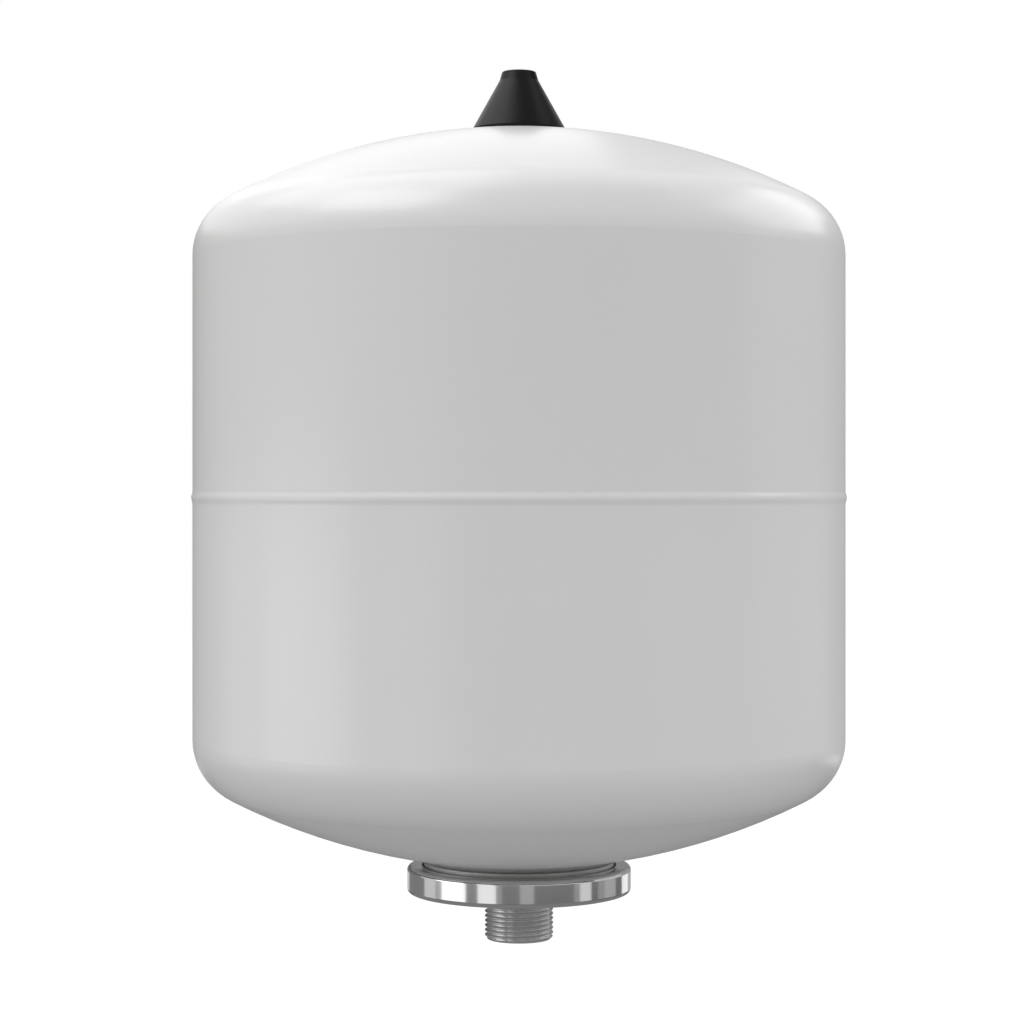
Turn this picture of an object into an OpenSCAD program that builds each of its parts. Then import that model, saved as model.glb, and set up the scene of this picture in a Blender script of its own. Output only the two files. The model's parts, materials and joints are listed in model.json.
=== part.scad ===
// Bladder expansion vessel: two drawn steel halves, a clamped water neck and a covered gas valve.
// The lower end of the pipe nipple is at the origin and the axis of the vessel is +Z. Millimetres.

/* [Shell] */
// Outer diameter of the cylindrical body
body_d = 250; // [220:1:300]
// Sheet thickness of the two drawn halves
shell_t = 1.5; // [1:0.1:3]
// Outer crown radius of the domed ends
crown_r = 241; // [220:1:330]
// Outer knuckle radius between dome and wall
knuckle_r = 24; // [15:1:40]
// Straight wall of each half, from dome to seam
half_wall_h = 92; // [75:0.5:160]

/* [Seam] */
// Width of the weld bead and of the groove between the two rims
seam_w = 4.6; // [3:0.1:7]
// Height of the weld bead above the wall
seam_h = 0.5; // [0.2:0.05:1]
// Length of the lower rim that laps inside the upper half
lap_h = 9; // [5:0.5:15]
// Height over which the lower rim is set inwards
joggle_h = 2.5; // [1.5:0.1:5]

/* [Water connection] */
// Major diameter of the pipe thread, G 3/4
thread_d = 26.441; // [20:0.001:34]
// Pitch of the pipe thread
thread_pitch = 1.814; // [1.3:0.001:2.4]
// Depth of the pipe thread
thread_depth = 1.162; // [0.8:0.001:1.5]
// Threaded length from the lower end
thread_len = 15; // [11:0.5:20]
// Chamfer on the lower end
nipple_chamfer = 1.2; // [0.5:0.1:2]
// Metal between thread root and waterway
nipple_wall = 2.06; // [1.5:0.01:3]
// Undercut length above the thread
undercut_h = 2; // [1:0.1:4]
// Height of the shoulder under the flange plate
shoulder_h = 3; // [2:0.1:5]
// Radial width of the shoulder outside the spigot
shoulder_w = 2.1; // [1:0.1:4]
// Wall of the spigot that passes through the flange plate
spigot_wall = 3.9; // [3:0.1:5]
// Height of the spigot above the flange plate
spigot_rise = 1; // [0.6:0.1:2]

/* [Neck and clamp ring] */
// Outer diameter of the neck collar
neck_d = 73; // [64:0.5:86]
// Wall of the neck collar
neck_wall = 3; // [2:0.1:5]
// Length of the neck collar inside the shell
collar_rise = 1.5; // [0.5:0.1:4]
// Radial width of the collar's clamping lip
lip_w = 4.5; // [3:0.1:8]
// Thickness of the clamping lip
lip_t = 2.4; // [1.5:0.1:4]
// Thickness of the flange plate
plate_t = 2.2; // [1.5:0.1:4]
// Sheet thickness of the clamp ring
ring_t = 1.8; // [1.2:0.1:3]
// Outer edge radius of the clamp ring
ring_edge_r = 1.8; // [0.4:0.1:1.8]
// Radial gap between the neck and the inner edge of the clamp ring
ring_gap = 1; // [0.5:0.1:2]
// Height of the lower crown above the clamp ring
crown_rise = 0.5; // [0:0.1:3]
// Leg of the fillet weld round the neck
neck_weld_leg = 1.8; // [1:0.1:2.2]

/* [Bladder] */
// Outer diameter of the bag
bag_d = 184; // [120:1:200]
// Straight length between the rounded ends of the bag
bag_straight_h = 33; // [10:1:60]
// Rubber thickness of the bag
bag_t = 2; // [1.2:0.1:3]
// Thickness of the clamped bead
bag_bead_t = 2.2; // [1.5:0.1:4]
// Height of the bag's lower end above the neck collar
bag_rise = 5; // [2:0.5:20]
// Height of the flange plate's centring rim for the bead
centring_h = 2.6; // [1.5:0.1:5]
// Wall of the centring rim
centring_t = 2; // [1:0.1:4]

/* [Bladder guard] */
// Radial width of the guard's rim outside the waterway
guard_rim_w = 3; // [2:0.1:3.5]
// Wall of the guard
guard_t = 1.4; // [1:0.1:2.5]
// Length of the guard's tail in the spigot's counterbore
guard_tail = 6; // [3:0.5:12]
// Width of each window
guard_slot_w = 3; // [2:0.1:4]
// Height of each window
guard_slot_h = 7; // [4:0.5:9]
// Windows round the guard
guard_slots = 8; // [4:1:10]

/* [Valve boss and stem] */
// Outer diameter of the boss
boss_d = 18; // [16:0.5:22]
// Height of the boss above the crown
boss_rise = 2.5; // [1.8:0.1:4]
// Depth of the boss below the crown
boss_depth = 6; // [3:0.5:10]
// Leg of the fillet weld round the boss
boss_weld_leg = 1.2; // [0.6:0.1:1.6]
// Diameter of the stem's screwed end
stem_d = 9.5; // [8:0.1:11]
// Length of the stem's screwed end below the boss top
stem_depth = 10.5; // [9:0.5:14]
// Thickness of the stem gasket
gasket_t = 0.8; // [0.5:0.1:1.5]
// Radial width of the stem gasket
gasket_w = 1.2; // [0.8:0.1:1.4]
// Hexagon of the stem across its flats
hex_af = 12; // [11:0.1:14]
// Height of the hexagon
hex_h = 2.7; // [2:0.1:4]
// Diameter of the cap thread on the stem
cap_thread_d = 7.7; // [7:0.05:9]
// Pitch of the cap thread
cap_thread_pitch = 0.794; // [0.7:0.001:1]
// Depth of the cap thread
cap_thread_depth = 0.43; // [0.3:0.01:0.55]
// Length of the stem above the hexagon
cap_thread_len = 7; // [6:0.1:10]

/* [Valve core] */
// Diameter of the core's screwed plug
plug_d = 5.1; // [4.5:0.05:5.8]
// Height of the plug
plug_h = 4; // [3:0.1:6]
// Depth of the plug below the stem's end
plug_sink = 0.6; // [0.3:0.1:1.2]
// Diameter of the core's barrel
barrel_d = 3.6; // [3:0.05:4.2]
// Wall of the barrel
barrel_t = 0.55; // [0.4:0.05:0.7]
// Length of the barrel
barrel_h = 8.4; // [7:0.1:10]
// Thickness of the barrel's floor
barrel_floor = 1; // [0.6:0.1:1.4]
// Depth of the plug's driver slot
plug_slot_h = 1.3; // [0.8:0.1:2]
// Ports in the barrel's floor
barrel_ports = 3; // [2:1:4]
// Thickness of the core gasket at its narrow end
core_cone_t = 0.2; // [0.1:0.05:0.3]
// Height of the core gasket's cone
core_cone_h = 1.5; // [1:0.1:2]
// Height of the core gasket below the plug
core_cone_drop = 0.6; // [0.3:0.1:1]
// Diameter of the valve pin
pin_d = 1.1; // [0.9:0.05:1.2]
// Diameter of the valve pin's head
pin_head_d = 1.6; // [1.5:0.05:1.8]
// Height of the valve pin's head and spring collar
pin_head_h = 0.7; // [0.4:0.05:0.9]
// Depth of the pin's head below the stem's end
pin_sink = 0.3; // [0.1:0.05:0.6]
// Height of the cup on the pin
cup_h = 1.6; // [1:0.1:2]
// Thickness of the core seal
seal_t = 0.5; // [0.3:0.05:0.8]
// Wire diameter of the core spring
wire_d = 0.26; // [0.2:0.01:0.3]
// Turns of the core spring
spring_turns = 7; // [5:1:9]

/* [Dust cap] */
// Wall of the dust cap
cap_t = 1.3; // [0.8:0.05:2]
// Thickness of the dust cap's top
cap_top_t = 1.2; // [0.8:0.1:1.6]
// Thickness of the cap seal
cap_seal_t = 0.6; // [0.4:0.1:1]
// Thread that the cap covers
cap_grip_h = 5.5; // [3:0.1:6.5]
// Radius of the finger grooves on the cap
cap_groove_r = 0.35; // [0.2:0.05:0.45]
// Finger grooves round the cap
cap_grooves = 24; // [16:1:30]

/* [Valve cover] */
// Base diameter of the valve cover's hem
cover_d = 37.2; // [34:0.2:60]
// Radial step from the hem to the cone
hem_step = 0.6; // [0.2:0.1:1]
// Height of the hem
hem_h = 1.2; // [0.8:0.1:2]
// Diameter where the cone meets the nose
nose_d = 15; // [14.4:0.1:26]
// Diameter of the nose at its top
nose_top_d = 13.4; // [12.8:0.1:18]
// Height of the cone above the hem
cone_h = 18.8; // [15:0.1:26]
// Height of the nose
nose_h = 3.5; // [3:0.1:9]
// Edge radius on top of the nose
nose_edge_r = 0.8; // [0.3:0.1:1.2]
// Wall of the valve cover
cover_t = 1.6; // [1.2:0.1:2]
// Wall of the sleeve that seats on the boss
sleeve_t = 1.4; // [1:0.1:1.6]
// Thickness of the stiffening ribs
rib_t = 1.2; // [0.8:0.1:2]
// Stiffening ribs
ribs = 6; // [3:1:8]

/* [Clearances] */
// Radial gap where pieces are welded or pressed together
joint_fit = 0.05; // [0.02:0.01:0.1]
// Radial clearance of pieces that slide or turn
run_fit = 0.05; // [0.02:0.01:0.1]
// Radial room round the valve pin's head and spring collar
pin_room = 0.15; // [0.08:0.01:0.25]
// Radial room round the dust cap's seal
seal_room = 0.1; // [0.05:0.01:0.3]
// Radial room round the bag's neck and the clamped rims
slip_fit = 0.3; // [0.1:0.05:0.5]
// Height of the valve cover's hem above the dome
hem_gap = 0.3; // [0.2:0.05:0.6]

/* [Hidden] */
$fn = 96;
// room that a cut takes beyond the face it opens
over = 1;
// flats of the thread form, as shares of its pitch
crest_flat = 0.2;
root_flat = 0.16;

// Torispherical ends
wall_r = body_d / 2;
knuckle_x = wall_r - knuckle_r;
crown_drop = sqrt(pow(crown_r - knuckle_r, 2) - pow(knuckle_x, 2));
head_h = crown_r - crown_drop;
blend_dir = [knuckle_x, crown_drop] / (crown_r - knuckle_r);
blend_far = [knuckle_x, 0] + 2 * knuckle_r * blend_dir;

// Heights from the nipple's end to the top of the cover
plate_z = thread_len + undercut_h + shoulder_h;
bead_z = plate_z + plate_t;
lip_z = bead_z + bag_bead_t;
lip_top_z = lip_z + lip_t;
ring_z = plate_z - ring_t;
ring_top_z = lip_top_z + ring_t;
low_crown_z = ring_top_z + crown_rise;
low_tangent_z = low_crown_z + head_h;
seam_z = low_tangent_z + half_wall_h;
high_tangent_z = seam_z + half_wall_h;
high_crown_z = high_tangent_z + head_h;
nipple_top_z = bead_z + spigot_rise;
boss_top_z = high_crown_z + boss_rise;
hex_z = boss_top_z + gasket_t;
hex_top_z = hex_z + hex_h;
stem_top_z = hex_top_z + cap_thread_len;
cap_z = stem_top_z - cap_grip_h;
cap_roof_z = stem_top_z + cap_seal_t;

// Seam
lap_r = wall_r - shell_t - joint_fit;
seam_arc_r = (pow(seam_w / 2, 2) + pow(seam_h, 2)) / (2 * seam_h);

// Nipple, neck and ring
thread_r = thread_d / 2;
root_r = thread_r - thread_depth;
bore_r = root_r - nipple_wall;
counterbore_r = bore_r + guard_t + joint_fit;
spigot_r = bore_r + spigot_wall;
guard_r = bore_r + guard_rim_w;
shoulder_r = spigot_r + shoulder_w;
neck_r = neck_d / 2;
neck_in_r = neck_r - neck_wall;
lip_r = neck_r + lip_w;
ring_in_r = neck_r + ring_gap;
ring_wall_r = lip_r + slip_fit;
ring_r = ring_wall_r + ring_t;
ring_round = min(ring_edge_r, ring_t);

// Bag
bag_r = bag_d / 2;
bag_neck_r = neck_in_r - slip_fit;
bag_neck_in_r = bag_neck_r - bag_t;
centring_r = bag_neck_in_r - slip_fit;
collar_top_z = low_dome_z(neck_r) + shell_t + collar_rise;
bag_low_z = collar_top_z + bag_rise + bag_r;
bag_high_z = bag_low_z + bag_straight_h;

// Gas valve
boss_r = boss_d / 2;
stem_r = stem_d / 2;
hex_r = hex_af / 2 / cos(30);
cap_thread_r = cap_thread_d / 2;
cap_in_r = cap_thread_r + run_fit;
cap_r = cap_in_r + cap_t;
plug_r = plug_d / 2;
plug_top_z = stem_top_z - plug_sink;
plug_z = plug_top_z - plug_h;
barrel_r = barrel_d / 2;
barrel_in_r = barrel_r - barrel_t;
barrel_z = plug_z - barrel_h;
barrel_floor_z = barrel_z + barrel_floor;
stem_bore_r = plug_r + joint_fit;
seat_top_z = plug_z - core_cone_drop;
seat_z = seat_top_z - core_cone_h;
seat_r = barrel_r + core_cone_t;
pin_r = pin_d / 2;
pin_head_r = pin_head_d / 2;
pin_top_z = stem_top_z - pin_sink;
pin_collar_r = barrel_in_r - pin_room;
pin_collar_top_z = plug_z - core_cone_drop;
pin_collar_z = pin_collar_top_z - pin_head_h;
cup_r = barrel_r - run_fit;
cup_top_z = barrel_z - seal_t;
cup_z = cup_top_z - cup_h;

// Valve cover
cover_r = cover_d / 2;
cone_r = cover_r - hem_step;
nose_r = nose_d / 2;
nose_top_r = nose_top_d / 2;
hem_z = high_dome_z(cover_r - cover_t - hem_step) + hem_gap;
cone_z = hem_z + hem_h;
nose_z = cone_z + cone_h;
cover_top_z = nose_z + nose_h;
sleeve_in_r = hex_r + run_fit;
sleeve_r = sleeve_in_r + sleeve_t;

function low_dome_z(r) = low_crown_z + crown_r - sqrt(crown_r * crown_r - r * r);
function high_dome_z(r) = high_crown_z - crown_r + sqrt(crown_r * crown_r - r * r);

// Flanks of a row of thread grooves, from the lower end up: a flat crest, a flank, a flat root, a flank
function thread_outline(crest_r, root_r, pitch, low, high) = [
    for (i = [0 : floor((high - low) / pitch) - 1])
    each [
        [crest_r, low + (i + crest_flat / 2) * pitch],
        [root_r, low + (i + (1 - root_flat) / 2) * pitch],
        [root_r, low + (i + (1 + root_flat) / 2) * pitch],
        [crest_r, low + (i + 1 - crest_flat / 2) * pitch]
    ]
];

// Points along a helix, ring by ring, for a round wire
function wire_ring(mean_r, wire_r, angle, z, sides) = [
    for (k = [0 : sides - 1])
    let (a = 360 * k / sides, r = mean_r + wire_r * cos(a))
    [r * cos(angle), r * sin(angle), z + wire_r * sin(a)]
];

// Half outline of one drawn half: dome above the tangent line, straight wall below it.
// The knuckle is a whole disc, which touches the crown's arc from inside where they blend.
module half_outline(inset, reach) {
    translate([0, -reach]) square([wall_r - inset, reach]);
    intersection() {
        translate([0, -crown_drop]) circle(crown_r - inset);
        polygon([[0, 0], [knuckle_x, 0], blend_far, [0, 2 * head_h]]);
    }
    translate([knuckle_x, 0]) circle(knuckle_r - inset);
}

module quarter_disc(r) {
    intersection() {
        circle(r);
        square(r);
    }
}

module turned(points) {
    rotate_extrude() polygon(points);
}

module tube(outer_r, inner_r, low, high) {
    turned([[inner_r, low], [outer_r, low], [outer_r, high], [inner_r, high]]);
}

module upper_shell() {
    rim_reach = half_wall_h - seam_w / 2;
    color("whitesmoke") translate([0, 0, high_tangent_z]) difference() {
        rotate_extrude() difference() {
            half_outline(0, rim_reach);
            half_outline(shell_t, rim_reach + over);
        }
        cylinder(r = boss_r + joint_fit, h = head_h + over);
    }
}

// The lower half hangs below its tangent line. Its rim is set inwards by one sheet and laps past the seam.
module lower_shell() {
    rim_reach = half_wall_h - seam_w / 2;
    joggle_reach = rim_reach - joggle_h;
    lap_reach = half_wall_h + lap_h;
    lap_in_r = lap_r - shell_t;
    color("whitesmoke") translate([0, 0, low_tangent_z]) mirror([0, 0, 1]) difference() {
        rotate_extrude() difference() {
            union() {
                half_outline(0, rim_reach);
                translate([0, -lap_reach]) square([lap_r, lap_reach]);
            }
            half_outline(shell_t, joggle_reach);
            polygon([
                [0, -joggle_reach], [wall_r - shell_t, -joggle_reach], [lap_in_r, -rim_reach],
                [lap_in_r, -lap_reach - over], [0, -lap_reach - over]
            ]);
        }
        cylinder(r = neck_r + joint_fit, h = head_h + over);
    }
}

module seam_weld() {
    color("whitesmoke") rotate_extrude() translate([0, seam_z]) {
        translate([lap_r, -seam_w / 2]) square([wall_r - lap_r, seam_w]);
        intersection() {
            translate([wall_r + seam_h - seam_arc_r, 0]) circle(seam_arc_r);
            translate([wall_r, -seam_w / 2]) square(seam_w);
        }
    }
}

module neck_collar() {
    color("dimgray") turned([
        [neck_in_r, lip_z], [lip_r, lip_z], [lip_r, lip_top_z], [neck_r, lip_top_z],
        [neck_r, collar_top_z], [neck_in_r, collar_top_z]
    ]);
}

// Fillet in the corner between a dome and a tube that stands out of it. Its base is the dome's tangent.
module dome_fillet(tube_r, leg) {
    mid_r = tube_r + leg / 2;
    mid_z = sqrt(crown_r * crown_r - mid_r * mid_r);
    rise = leg / 2 * mid_r / mid_z;
    turned([[tube_r, mid_z + rise], [tube_r + leg, mid_z - rise], [tube_r, mid_z + rise + leg]]);
}

module neck_weld() {
    color("dimgray") translate([0, 0, low_crown_z + crown_r]) mirror([0, 0, 1])
        dome_fillet(neck_r, neck_weld_leg);
}

module clamp_ring() {
    ring_h = ring_top_z - ring_z;
    edge_x = ring_r - ring_round;
    color("silver") rotate_extrude() difference() {
        union() {
            translate([ring_in_r, ring_z]) square([edge_x - ring_in_r, ring_h]);
            translate([edge_x, ring_z + ring_round]) square([ring_round, ring_h - 2 * ring_round]);
            translate([edge_x, ring_top_z - ring_round]) quarter_disc(ring_round);
            translate([edge_x, ring_z + ring_round]) mirror([0, 1]) quarter_disc(ring_round);
        }
        translate([ring_in_r - over, plate_z])
            square([ring_wall_r - ring_in_r + over, lip_top_z - plate_z]);
    }
}

module flange_plate() {
    hole_r = spigot_r + joint_fit;
    color("lightgray") turned([
        [hole_r, plate_z], [lip_r, plate_z], [lip_r, bead_z], [centring_r, bead_z],
        [centring_r, bead_z + centring_h], [centring_r - centring_t, bead_z + centring_h],
        [centring_r - centring_t, bead_z], [hole_r, bead_z]
    ]);
}

module connection_nipple() {
    color("silver") turned(concat(
        [[bore_r, 0], [thread_r - nipple_chamfer, 0], [thread_r, nipple_chamfer]],
        thread_outline(thread_r, root_r, thread_pitch, nipple_chamfer, thread_len),
        [
            [thread_r, thread_len], [root_r, thread_len + thread_depth],
            [root_r, thread_len + undercut_h], [shoulder_r, thread_len + undercut_h],
            [shoulder_r, plate_z], [spigot_r, plate_z], [spigot_r, nipple_top_z],
            [counterbore_r, nipple_top_z], [counterbore_r, nipple_top_z - guard_tail],
            [bore_r, nipple_top_z - guard_tail]
        ]
    ));
}

module nipple_weld() {
    color("gray") turned([
        [spigot_r, bead_z], [spigot_r + joint_fit + spigot_rise, bead_z], [spigot_r, nipple_top_z]
    ]);
}

// Half outline of the bag's rounded body
module bag_outline(r) {
    translate([0, bag_high_z]) quarter_disc(r);
    translate([0, bag_low_z]) square([r, bag_straight_h]);
    translate([0, bag_low_z]) mirror([0, 1]) quarter_disc(r);
}

module bladder() {
    neck_h = bag_low_z - bead_z;
    color("#2b2b2b") rotate_extrude() difference() {
        union() {
            bag_outline(bag_r);
            translate([0, bead_z]) square([lip_r, bag_bead_t]);
            translate([0, bead_z]) square([bag_neck_r, neck_h]);
        }
        bag_outline(bag_r - bag_t);
        translate([0, bead_z - over]) square([bag_neck_in_r, neck_h + over]);
    }
}

module bladder_guard() {
    slot_z = nipple_top_z + guard_t;
    slot_in_r = guard_r / 2;
    color("ivory") difference() {
        rotate_extrude() {
            translate([bore_r, nipple_top_z - guard_tail]) square([guard_t, guard_tail]);
            translate([bore_r, nipple_top_z]) square([guard_r - bore_r, guard_t]);
            translate([0, slot_z]) difference() {
                quarter_disc(guard_r);
                quarter_disc(guard_r - guard_t);
            }
        }
        for (i = [0 : guard_slots - 1])
            rotate([0, 0, 360 * i / guard_slots])
                translate([slot_in_r, -guard_slot_w / 2, slot_z])
                    cube([guard_r, guard_slot_w, guard_slot_h]);
        translate([0, 0, slot_z]) cylinder(r = guard_slot_w / 2, h = guard_r + over);
    }
}

module valve_boss() {
    color("gray") tube(boss_r, stem_r + joint_fit, high_crown_z - boss_depth, boss_top_z);
}

module boss_weld() {
    color("gray") translate([0, 0, high_crown_z - crown_r]) dome_fillet(boss_r, boss_weld_leg);
}

module valve_stem() {
    stem_chamfer = cap_thread_depth;
    color("goldenrod") difference() {
        union() {
            translate([0, 0, boss_top_z - stem_depth]) cylinder(r = stem_r, h = stem_depth + gasket_t);
            translate([0, 0, hex_z]) cylinder(r = hex_r, h = hex_h, $fn = 6);
            turned(concat(
                [[0, hex_z], [cap_thread_r, hex_z]],
                thread_outline(
                    cap_thread_r, cap_thread_r - cap_thread_depth, cap_thread_pitch, hex_top_z,
                    stem_top_z - stem_chamfer
                ),
                [[cap_thread_r, stem_top_z - stem_chamfer], [cap_thread_r - stem_chamfer, stem_top_z],
                    [0, stem_top_z]]
            ));
        }
        turned([
            [0, boss_top_z - stem_depth - over], [seat_r, boss_top_z - stem_depth - over], [seat_r, seat_z],
            [stem_bore_r, seat_top_z], [stem_bore_r, stem_top_z + over], [0, stem_top_z + over]
        ]);
    }
}

module stem_gasket() {
    color("#303030") tube(stem_r + joint_fit + gasket_w, stem_r + joint_fit, boss_top_z, hex_z);
}

module core_plug() {
    bore = pin_head_r + pin_room;
    color("goldenrod") difference() {
        tube(plug_r, bore, plug_z, plug_top_z);
        translate([-plug_d, -bore, plug_top_z - plug_slot_h]) cube([2 * plug_d, 2 * bore, plug_h]);
    }
}

module core_barrel() {
    port_r = barrel_t / 2;
    port_x = (pin_r + run_fit + barrel_in_r) / 2;
    color("goldenrod") difference() {
        turned([
            [pin_r + run_fit, barrel_z], [barrel_r, barrel_z], [barrel_r, plug_z], [barrel_in_r, plug_z],
            [barrel_in_r, barrel_floor_z], [pin_r + run_fit, barrel_floor_z]
        ]);
        for (i = [0 : barrel_ports - 1])
            rotate([0, 0, 360 * i / barrel_ports])
                translate([port_x, 0, barrel_z - over]) cylinder(r = port_r, h = barrel_floor + 2 * over);
    }
}

module core_gasket() {
    color("white") turned([
        [barrel_r, seat_z], [seat_r, seat_z], [stem_bore_r, seat_top_z], [barrel_r, seat_top_z]
    ]);
}

module core_pin() {
    color("silver") turned([
        [0, cup_z], [pin_r, cup_z], [pin_r, pin_collar_z], [pin_collar_r, pin_collar_z],
        [pin_collar_r, pin_collar_top_z], [pin_r, pin_collar_top_z], [pin_r, pin_top_z - pin_head_h],
        [pin_head_r, pin_top_z - pin_head_h], [pin_head_r, pin_top_z], [0, pin_top_z]
    ]);
}

module core_cup() {
    color("goldenrod") tube(cup_r, pin_r, cup_z, cup_top_z);
}

module core_seal() {
    color("#303030") tube(cup_r, pin_r, cup_top_z, barrel_z);
}

module core_spring() {
    sides = 6;
    rings_per_turn = 12;
    wire_r = wire_d / 2;
    mean_r = (pin_r + barrel_in_r) / 2;
    low = barrel_floor_z + wire_r + joint_fit;
    high = pin_collar_z - wire_r - joint_fit;
    rings = spring_turns * rings_per_turn;
    points = [
        for (i = [0 : rings])
        each wire_ring(mean_r, wire_r, 360 * i / rings_per_turn, low + (high - low) * i / rings, sides)
    ];
    sides_faces = [
        for (i = [0 : rings - 1], k = [0 : sides - 1])
        let (a = i * sides + k, b = i * sides + (k + 1) % sides)
        each [[a, b, b + sides], [a, b + sides, a + sides]]
    ];
    low_end = [for (k = [1 : sides - 2]) [0, k + 1, k]];
    top = rings * sides;
    high_end = [for (k = [1 : sides - 2]) [top, top + k, top + k + 1]];
    echo(spring_gap = (high - low) / spring_turns - wire_d);
    color("silver") polyhedron(points, concat(low_end, sides_faces, high_end));
}

module dust_cap() {
    cap_top_z = cap_roof_z + cap_top_t;
    color("#222222") difference() {
        turned([
            [cap_in_r, cap_z], [cap_r, cap_z], [cap_r, cap_top_z - cap_groove_r],
            [cap_r - cap_groove_r, cap_top_z], [0, cap_top_z], [0, cap_roof_z], [cap_in_r, cap_roof_z]
        ]);
        for (i = [0 : cap_grooves - 1])
            rotate([0, 0, 360 * i / cap_grooves])
                translate([cap_r + cap_groove_r / 2, 0, cap_z - over])
                    cylinder(r = cap_groove_r, h = cap_grip_h + cap_seal_t + over);
    }
}

module dust_cap_seal() {
    color("#303030") translate([0, 0, stem_top_z]) cylinder(r = cap_in_r - seal_room, h = cap_seal_t);
}

// Room inside a wall of the cover's cone and nose, as half an outline
module cover_hollow(wall) {
    slope = (cone_r - nose_r) / cone_h;
    side_t = wall * sqrt(1 + slope * slope);
    roof_z = cover_top_z - wall;
    polygon([
        [0, hem_z - over], [cone_r - side_t, hem_z - over], [cone_r - side_t, cone_z],
        [nose_r - side_t, nose_z], [nose_top_r - wall, roof_z], [0, roof_z]
    ]);
}

module valve_cover() {
    color("#1c1c1c") union() {
        rotate_extrude() difference() {
            union() {
                polygon([
                    [0, hem_z], [cover_r, hem_z], [cover_r, cone_z], [cone_r, cone_z], [nose_r, nose_z],
                    [nose_top_r, cover_top_z - nose_edge_r], [0, cover_top_z - nose_edge_r]
                ]);
                translate([0, cover_top_z - nose_edge_r]) square([nose_top_r - nose_edge_r, nose_edge_r]);
                translate([nose_top_r - nose_edge_r, cover_top_z - nose_edge_r]) quarter_disc(nose_edge_r);
            }
            cover_hollow(cover_t);
        }
        // the sleeve and the ribs end in the middle of the wall
        intersection() {
            rotate_extrude() cover_hollow(cover_t / 2);
            union() {
                tube(sleeve_r, sleeve_in_r, boss_top_z, nose_z);
                for (i = [0 : ribs - 1])
                    rotate([0, 0, 360 * i / ribs])
                        translate([sleeve_r - sleeve_t / 2, -rib_t / 2, boss_top_z])
                            cube([cover_r, rib_t, cone_h]);
            }
        }
    }
}

upper_shell();
lower_shell();
seam_weld();
neck_collar();
neck_weld();
clamp_ring();
flange_plate();
connection_nipple();
nipple_weld();
bladder();
bladder_guard();
valve_boss();
boss_weld();
valve_stem();
stem_gasket();
core_plug();
core_barrel();
core_gasket();
core_pin();
core_cup();
core_seal();
core_spring();
dust_cap();
dust_cap_seal();
valve_cover();
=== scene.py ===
import json
import math

import bpy
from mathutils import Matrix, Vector


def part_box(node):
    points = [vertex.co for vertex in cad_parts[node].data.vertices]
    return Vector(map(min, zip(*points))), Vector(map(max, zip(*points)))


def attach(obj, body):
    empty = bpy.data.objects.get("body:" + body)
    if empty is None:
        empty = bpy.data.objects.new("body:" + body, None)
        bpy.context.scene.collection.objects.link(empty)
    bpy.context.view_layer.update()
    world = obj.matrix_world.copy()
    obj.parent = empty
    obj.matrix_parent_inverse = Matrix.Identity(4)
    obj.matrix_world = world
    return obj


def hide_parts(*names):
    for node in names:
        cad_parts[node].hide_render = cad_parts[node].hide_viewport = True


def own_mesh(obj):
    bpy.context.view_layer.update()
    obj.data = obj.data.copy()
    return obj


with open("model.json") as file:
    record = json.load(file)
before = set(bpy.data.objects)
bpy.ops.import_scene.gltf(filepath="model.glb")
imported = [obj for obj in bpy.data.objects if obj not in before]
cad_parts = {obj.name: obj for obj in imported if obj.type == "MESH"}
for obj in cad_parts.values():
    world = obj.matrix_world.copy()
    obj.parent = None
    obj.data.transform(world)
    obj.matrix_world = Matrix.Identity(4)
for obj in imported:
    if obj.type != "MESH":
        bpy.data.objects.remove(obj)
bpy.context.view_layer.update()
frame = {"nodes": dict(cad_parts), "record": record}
nodes = frame["nodes"]
fullTurn = 2 * math.pi
closeness = {"merge": 1e-7, "fineMerge": 1e-8, "onFace": 1e-6, "digits": 7}  # metres, and decimal places
smoothing = {"turned": 40, "soft": 50}  # degrees between faces that shade as one
seedSize = 0.001  # the plane that becomes a profile's first point
print("frame loaded:", len(nodes), "nodes")


# Small helpers for working as in the viewport

def clearSelection():
    if bpy.context.mode != "OBJECT":
        bpy.ops.object.mode_set(mode="OBJECT")
    bpy.ops.object.select_all(action="DESELECT")


def selectOnly(piece):
    clearSelection()
    piece.select_set(True)
    bpy.context.view_layer.objects.active = piece


def nameNew(name):
    piece = bpy.context.object
    piece.name = name
    piece.data.name = name
    return piece


def applyModifier(piece, kind, **values):
    selectOnly(piece)
    bpy.ops.object.modifier_add(type=kind)
    modifier = piece.modifiers[-1]
    for key, value in values.items():
        setattr(modifier, key, value)
    bpy.ops.object.modifier_apply(modifier=modifier.name)


def combine(piece, other, operation):
    applyModifier(piece, "BOOLEAN", object=other, operation=operation, solver="EXACT")
    bpy.data.objects.remove(other)


def cleanMesh(piece, gap=closeness["merge"]):
    selectOnly(piece)
    bpy.ops.object.mode_set(mode="EDIT")
    bpy.ops.mesh.select_all(action="SELECT")
    bpy.ops.mesh.remove_doubles(threshold=gap)
    bpy.ops.mesh.delete_loose()
    bpy.ops.mesh.select_all(action="SELECT")
    bpy.ops.mesh.normals_make_consistent(inside=False)
    bpy.ops.object.mode_set(mode="OBJECT")


def smoothByAngle(piece, degrees):
    selectOnly(piece)
    bpy.ops.object.shade_smooth_by_angle(angle=math.radians(degrees))


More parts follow.
